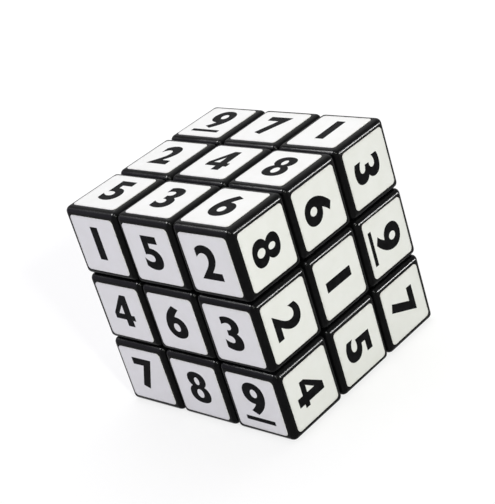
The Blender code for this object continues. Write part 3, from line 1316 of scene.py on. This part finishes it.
    @staticmethod
    def draw(loop: Loop, curve: bpy.types.Curve) -> None:
        """Draw one loop on a flat curve.

        Args:
            loop: Steps of the loop.
            curve: Curve that gets it.
        """
        spline = curve.splines.new("BEZIER")
        spline.use_cyclic_u = True
        knots = spline.bezier_points
        knots.add(len(loop) - 1)
        for knot, step in zip(knots, loop):
            knot.co = (step[-2] * MM, step[-1] * MM, 0)
            knot.handle_left_type = "VECTOR"
            knot.handle_right_type = "VECTOR"
        for index, step in enumerate(loop):
            if len(step) > STRAIGHT_STEP:
                knots[index - 1].handle_right_type = "FREE"
                knots[index - 1].handle_right = (step[0] * MM, step[1] * MM, 0)
                knots[index].handle_left_type = "FREE"
                knots[index].handle_left = (step[2] * MM, step[3] * MM, 0)

    def mesh(self, digit: int, thickness: float) -> bpy.types.Mesh:
        """Cast a numeral as a thin closed film of ink.

        Args:
            digit: 1 to 9.
            thickness: Thickness of the film.

        Returns:
            The film, upright in X and Y, with its middle at the origin.
        """
        curve = bpy.data.curves.new("numeral", "CURVE")
        curve.dimensions = "2D"
        curve.fill_mode = "BOTH"
        curve.resolution_u = self.smoothness
        curve.extrude = thickness / 2
        for loop in self.loops(digit):
            self.draw(loop, curve)
        drawing = bpy.data.objects.new("numeral", curve)
        bpy.context.scene.collection.objects.link(drawing)
        depsgraph = bpy.context.evaluated_depsgraph_get()
        mesh = bpy.data.meshes.new_from_object(drawing.evaluated_get(depsgraph))
        bpy.data.objects.remove(drawing)
        return mesh


@dataclass(frozen=True)
class FacePrint:
    """What is printed on one face: its rows as they are read, their way up, and how high they sit."""

    rows: tuple[str, str, str]
    upwards: Point
    shift_mm: float


# The front, right and upper face as in the photograph, the others as a solved cube may have them
PRINTS = {
    Side.UP: FacePrint(("971", "248", "536"), (0, 1, 0), 0.65),
    Side.FRONT: FacePrint(("152", "463", "789"), (0, 0, 1), 0.5),
    Side.RIGHT: FacePrint(("397", "615", "824"), (0, 1, 0), -0.5),
    Side.LEFT: FacePrint(("294", "753", "618"), (0, 0, 1), 0.3),
    Side.BACK: FacePrint(("485", "192", "637"), (0, 0, 1), -0.2),
    Side.DOWN: FacePrint(("629", "871", "354"), (0, 1, 0), 0.4),
}


@dataclass
class StickerSheet:
    """The 54 printed stickers: vinyl film with rounded corners, each with a numeral in ink."""

    half: float = 7.66 * MM
    corner: float = 1.0 * MM
    corner_segments: int = 8
    thickness: float = 0.12 * MM
    sink: float = 0.03 * MM
    lip: float = 0.05 * MM
    lip_segments: int = 2
    rim: float = 0.7 * MM
    ink: float = 0.03 * MM
    ink_root: float = 0.01 * MM
    face: float = BlockMoulds.face
    pitch: float = BlockMoulds.outer_middle
    hand_shift: float = 0.12 * MM
    hand_turn: float = math.radians(0.5)
    seed: int = 9

    def film(self) -> Workpiece:
        """Shape one sticker and mark its rim.

        Returns:
            The film, flat in X and Y, with the plastic at 0.
        """
        half = self.half
        film = Workpiece.box((-half, -half, -self.sink), (half, half, self.thickness))
        shape = film.shape
        upright = [edge for edge in shape.edges if edge.verts[0].co.xy == edge.verts[1].co.xy]
        film.round_off(upright, self.corner, self.corner_segments)
        top = max(shape.faces, key=lambda face: face.calc_center_median().z)
        film.round_off(list(top.edges), self.lip, self.lip_segments)
        top = max(shape.faces, key=lambda face: (face.calc_center_median().z, face.calc_area()))
        bmesh.ops.inset_individual(shape, faces=[top], thickness=self.rim, depth=0)
        marks = shape.verts.layers.float.new(RIM_SOIL)
        inside = half - self.rim / 2
        for vert in shape.verts:
            vert[marks] = float(max(abs(vert.co.x), abs(vert.co.y)) > inside)
        return film

    def sticker(self, ink: bpy.types.Mesh, shift: float) -> bpy.types.Mesh:
        """Lay a numeral on a sticker.

        Args:
            ink: Film of ink, with its middle at the origin.
            shift: How far above the sticker's middle the numeral is printed.

        Returns:
            The printed sticker, flat in X and Y.
        """
        film = self.film()
        shape = film.shape
        vinyl = set(shape.faces)
        level = self.thickness + (self.ink - self.ink_root) / 2
        shape.from_mesh(moved(ink, Matrix.Translation((0, shift, level))))
        bmesh.ops.remove_doubles(shape, verts=shape.verts[:], dist=MERGE_DISTANCE)
        for face in shape.faces:
            face.material_index = int(face not in vinyl)
        return film.mesh("sticker")

    def slip(self, hand: random.Random) -> Matrix:
        """Draw how far a sticker that is laid by hand sits out of true.

        Args:
            hand: Seeded draws.

        Returns:
            Shift and turn of the sticker in its own plane.
        """
        across = hand.uniform(-self.hand_shift, self.hand_shift)
        upwards = hand.uniform(-self.hand_shift, self.hand_shift)
        turn = hand.uniform(-self.hand_turn, self.hand_turn)
        return Matrix.Translation((across, upwards, 0)) @ Matrix.Rotation(turn, 4, "Z")

    def build(self) -> None:
        """Stick all the stickers on, each a hair out of true."""
        numerals = NumeralSet()
        inks = {digit: numerals.mesh(digit, self.ink + self.ink_root) for digit in range(1, 10)}
        hand = random.Random(self.seed)
        for side, face_print in PRINTS.items():
            up = Vector(face_print.upwards)
            across = up.cross(side.normal)
            facing = Matrix((across, up, side.normal)).transposed().to_4x4()
            for row, column in itertools.product(range(3), repeat=2):
                step = across * (column - 1) + up * (1 - row)
                spot = Matrix.Translation(side.normal * self.face + step * self.pitch)
                mesh = self.sticker(inks[int(face_print.rows[row][column])], face_print.shift_mm * MM)
                mesh.transform(spot @ facing @ self.slip(hand))
                cell = Cell(tuple(round(value) for value in side.normal + step))
                name = f"sticker_{side.word}_{row + 1}{column + 1}"
                add_piece(name, mesh, cell.body, [WHITE_VINYL, BLACK_INK])


@dataclass
class Mechanism:
    """The hidden mechanism: six-armed core, and on each arm a screw, a washer and a spring."""

    body: str = "core"
    round_steps: int = 40

    hub_half: float = 5.4 * MM
    hub_fillet: float = 2.0 * MM
    hub_segments: int = 5
    arm_radius: float = 3.8 * MM
    arm_end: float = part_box("core")[1].z
    arm_fillet: float = 0.4 * MM
    hole_bottom: float = 3.4 * MM
    hole_flare: float = 0.35 * MM

    screw_end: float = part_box("screw_up")[0].z
    tip_radius: float = 0.8 * MM
    tip_length: float = 0.8 * MM
    root_radius: float = 1.2 * MM
    thread_half: float = 0.33 * MM
    thread_bite: float = 0.15 * MM
    thread_pitch: float = 0.8 * MM
    thread_turns: int = 7
    thread_steps: int = 24
    head_radius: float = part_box("screw_up")[1].x
    head_bottom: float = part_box("washer_up")[1].z + SEAT_GAP
    head_top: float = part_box("screw_up")[1].z
    head_fillet: float = 0.9 * MM
    fillet_segments: int = 5
    recess_half: float = 1.5 * MM
    recess_width: float = 0.36 * MM
    recess_depth: float = 1.1 * MM
    recess_slope: float = 0.25 * MM

    wire_radius: float = 0.35 * MM
    wire_points: int = 10
    coil_radius: float = head_radius - wire_radius
    coil_bottom: float = BlockMoulds.ledge + SEAT_GAP + wire_radius
    coil_top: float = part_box("washer_up")[0].z - SEAT_GAP - wire_radius
    coil_open_turns: int = 2
    coil_closed_climb: float = 0.74 * MM
    coil_steps: int = 32

    def core(self) -> bpy.types.Mesh:
        """Shape the core: hub, six arms, and a hole with a flared mouth in each arm.

        Returns:
            The core.
        """
        hub = Workpiece.box((-self.hub_half,) * 3, (self.hub_half,) * 3)
        hub.round_off(hub.shape.edges[:], self.hub_fillet, self.hub_segments)
        arm = Workpiece.outline([
            (0, 0),
            (self.arm_radius, 0),
            (self.arm_radius, self.arm_end),
            (0, self.arm_end),
        ]).turn(self.round_steps)
        arm.round_off(arm.rim(self.arm_end), self.arm_fillet, self.fillet_segments)
        hole = Workpiece.outline([
            (0, self.hole_bottom),
            (SCREW_HOLE, self.hole_bottom),
            (SCREW_HOLE, self.arm_end - self.hole_flare),
            (SCREW_HOLE + self.hole_flare + OVERLAP, self.arm_end + OVERLAP),
            (0, self.arm_end + OVERLAP),
        ]).turn(self.round_steps)
        turns = [Cell(side.value).turn for side in Side]
        arm_mesh, hole_mesh = arm.mesh("arm"), hole.mesh("hole")
        joined = combine(Meeting.JOIN, hub.mesh("hub"), *(moved(arm_mesh, turn) for turn in turns))
        return combine(Meeting.CUT, joined, *(moved(hole_mesh, turn) for turn in turns))

    def thread(self) -> bpy.types.Mesh:
        """Wind the ridge of the screw's thread.

        Returns:
            The ridge, which bites into the shank's root.
        """
        start = self.screw_end + self.tip_length + self.thread_half
        inside = self.root_radius - self.thread_bite
        ridge = Workpiece.outline([
            (inside, start - self.thread_half),
            (SHANK_RADIUS, start),
            (inside, start + self.thread_half),
        ], closed=True)
        return ridge.wind([(self.thread_turns, self.thread_pitch)], self.thread_steps).mesh("thread")

    def screw(self) -> bpy.types.Mesh:
        """Shape a screw: threaded shank, and a domed head with a crossed recess.

        Returns:
            The screw along +Z.
        """
        thread_top = self.screw_end + self.tip_length + (self.thread_turns + 1) * self.thread_pitch
        blank = Workpiece.outline([
            (0, self.screw_end),
            (self.tip_radius, self.screw_end),
            (self.root_radius, self.screw_end + self.tip_length),
            (self.root_radius, thread_top),
            (SHANK_RADIUS, thread_top + self.thread_half),
            (SHANK_RADIUS, self.head_bottom),
            (self.head_radius, self.head_bottom),
            (self.head_radius, self.head_top),
            (0, self.head_top),
        ]).turn(self.round_steps)
        blank.round_off(blank.rim(self.head_top), self.head_fillet, self.fillet_segments)
        floor = self.head_top - self.recess_depth
        slot = Workpiece.box(
            (-self.recess_half, -self.recess_width, floor),
            (self.recess_half, self.recess_width, self.head_top + OVERLAP),
        )
        slot.round_off(slot.rim(floor), self.recess_slope, segments=1)
        slot_mesh = slot.mesh("slot")
        crossed = moved(slot_mesh, Matrix.Rotation(math.pi / 2, 4, "Z"))
        threaded = combine(Meeting.JOIN, blank.mesh("blank"), self.thread())
        return combine(Meeting.CUT, threaded, slot_mesh, crossed)

    def spring(self) -> bpy.types.Mesh:
        """Wind a spring whose end turns lie closed, so that it stands square.

        Returns:
            The spring along +Z.
        """
        rise = self.coil_top - self.coil_bottom
        open_climb = (rise - 2 * self.coil_closed_climb) / self.coil_open_turns
        start = (self.coil_radius, 0, self.coil_bottom)
        section = Workpiece.wire_section(self.wire_radius, start, self.wire_points)
        closed_run = (1, self.coil_closed_climb)
        runs = [closed_run, (self.coil_open_turns, open_climb), closed_run]
        return section.wind(runs, self.coil_steps).mesh("spring")

    def build(self) -> None:
        """Put the finer core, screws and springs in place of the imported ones, and plate the washers."""
        core = add_piece("moulded_core", self.core(), self.body, [GREY_NYLON])
        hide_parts("core")
        screw, spring = self.screw(), self.spring()
        for side in Side:
            turn = Cell(side.value).turn
            driven = add_piece(f"threaded_screw_{side.word}", moved(screw, turn), self.body, [ZINC_STEEL])
            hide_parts(f"screw_{side.word}")
            wound = add_piece(f"wound_spring_{side.word}", moved(spring, turn), self.body, [SPRING_STEEL])
            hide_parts(f"spring_{side.word}")
            self.plate(f"washer_{side.word}")

    @staticmethod
    def plate(node: str) -> None:
        """Give a packed washer, whose plain ring is right as it is, its zinc plating.

        Args:
            node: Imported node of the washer.
        """
        for slot in frame["nodes"][node].material_slots:
            slot.material = ZINC_STEEL.material()
        LOG.info("%s stays and is finished in %s", node, ZINC_STEEL.name)


@dataclass(frozen=True)
class SoftBox:
    """A rectangular lamp that points at the cube, or that shows only as a sheen on the mouldings."""

    name: str
    towards: Point
    distance: float
    width: float
    height: float
    radiance: float
    colour: str
    sheen: Sheen | None = None

    def build(self) -> None:
        """Hang the lamp."""
        lamp = bpy.data.lights.new(self.name, "AREA")
        lamp.shape = "RECTANGLE"
        lamp.size = self.width
        lamp.size_y = self.height
        lamp.energy = self.radiance * math.pi * self.width * self.height
        lamp.color = linear(self.colour)[:3]
        holder = bpy.data.objects.new(self.name, lamp)
        direction = Vector(self.towards).normalized()
        holder.location = direction * self.distance
        holder.rotation_euler = direction.to_track_quat("Z", "Y").to_euler()
        holder.visible_camera = False
        if self.sheen:
            holder.visible_diffuse = False
            holder.light_linking.receiver_collection = self.sheen.pieces
        bpy.context.scene.collection.objects.link(holder)


@dataclass
class Studio:
    """Plain white studio: floor, soft light and the camera at the photograph's angle."""

    # The first three light the cube; the others show only as dots and lines on the black plastic
    LAMPS = (
        SoftBox("key", (0.80, -0.36, 0.48), 0.9, 0.07, 0.07, 312, "#FCFFF3"),
        SoftBox("overhead", (-0.2, 0.5, 0.87), 0.8, 1.0, 0.8, 2.03, "#FFFFFF"),
        SoftBox("side_panel", (-0.66, -0.66, 0.30), 0.9, 1.1, 0.85, 1.3, "#E2D9FF"),
        SoftBox("left_glint", (-0.48, -0.38, 0.79), 0.9, 0.25, 0.2, 240, "#FFFFFF", Sheen.ALL),
        SoftBox("right_glint", (0.39, -0.39, 0.81), 0.9, 0.2, 0.2, 115, "#FFFFFF", Sheen.ALL),
        SoftBox("rim_strip", (0.806, 0.589, 0.02), 0.9, 0.3, 0.09, 310, "#FFFFFF", Sheen.RIGHT_LAYER),
    )

    floor_size: float = 4.0
    floor_segments: int = 8
    floor_gap: float = 0.05 * MM
    sky: str = "#F2F1F6"
    sky_light: float = 0.25
    eye: Point = (0.248616, -0.212594, 0.159426)
    look: Point = (-0.68687, 0.58557, -0.43048)
    rightwards: Point = (0.71752, 0.64062, -0.27345)
    sensor: float = 36.0
    focal_pixels: float = 1454.4
    frame_pixels: float = 504.0
    nearest: float = 0.01

    def build(self) -> None:
        """Lay the floor, hang the lamps, light the sky and set the camera up."""
        self.lay_floor()
        for lamp in self.LAMPS:
            lamp.build()
        self.light_sky()
        self.set_camera()
        bpy.context.scene.view_settings.view_transform = "Standard"

    def lay_floor(self) -> None:
        """Lay the paper just under the lowest print, which would flicker through it in one plane."""
        sheet = Workpiece()
        bmesh.ops.create_grid(
            sheet.shape,
            x_segments=self.floor_segments,
            y_segments=self.floor_segments,
            size=self.floor_size / 2,
        )
        mesh = sheet.mesh("floor")
        mesh.transform(Matrix.Translation((0, 0, CAD_BOX[0].z - self.floor_gap)))
        mesh.materials.append(FLOOR_PAPER.material())
        floor = bpy.data.objects.new("floor", mesh)
        bpy.context.scene.collection.objects.link(floor)

    def light_sky(self) -> None:
        """Light the surroundings evenly, and make them white where they are looked at."""
        world = bpy.data.worlds.new("studio_sky")
        bpy.context.scene.world = world
        world.use_nodes = True
        tree = world.node_tree
        tree.nodes.clear()
        light = add_node(tree, "ShaderNodeBackground", {
            "Color": linear(self.sky),
            "Strength": self.sky_light,
        })
        white = add_node(tree, "ShaderNodeBackground", {"Color": WHITE, "Strength": 1.0})
        sky = add_node(tree, "ShaderNodeMixShader", {
            0: looked_at(tree),
            1: light.outputs[0],
            2: white.outputs[0],
        })
        add_node(tree, "ShaderNodeOutputWorld", {"Surface": sky.outputs[0]})

    def set_camera(self) -> None:
        """Set the camera up where the photograph was taken from."""
        lens = bpy.data.cameras.new("camera")
        lens.sensor_width = self.sensor
        lens.lens = self.focal_pixels / self.frame_pixels * self.sensor
        lens.clip_start = self.nearest
        camera = bpy.data.objects.new("camera", lens)
        back = -Vector(self.look).normalized()
        right = Vector(self.rightwards)
        right = (right - back * right.dot(back)).normalized()
        camera.matrix_world = Matrix((right, back.cross(right), back)).transposed().to_4x4()
        camera.location = self.eye
        bpy.context.scene.collection.objects.link(camera)
        bpy.context.scene.camera = camera


def main() -> None:
    """Build the studio and the pieces in order."""
    logging.basicConfig(level=logging.INFO, format="%(message)s")
    Studio().build()
    BlockMoulds().build()
    StickerSheet().build()
    Mechanism().build()


if __name__ == "__main__":
    main()
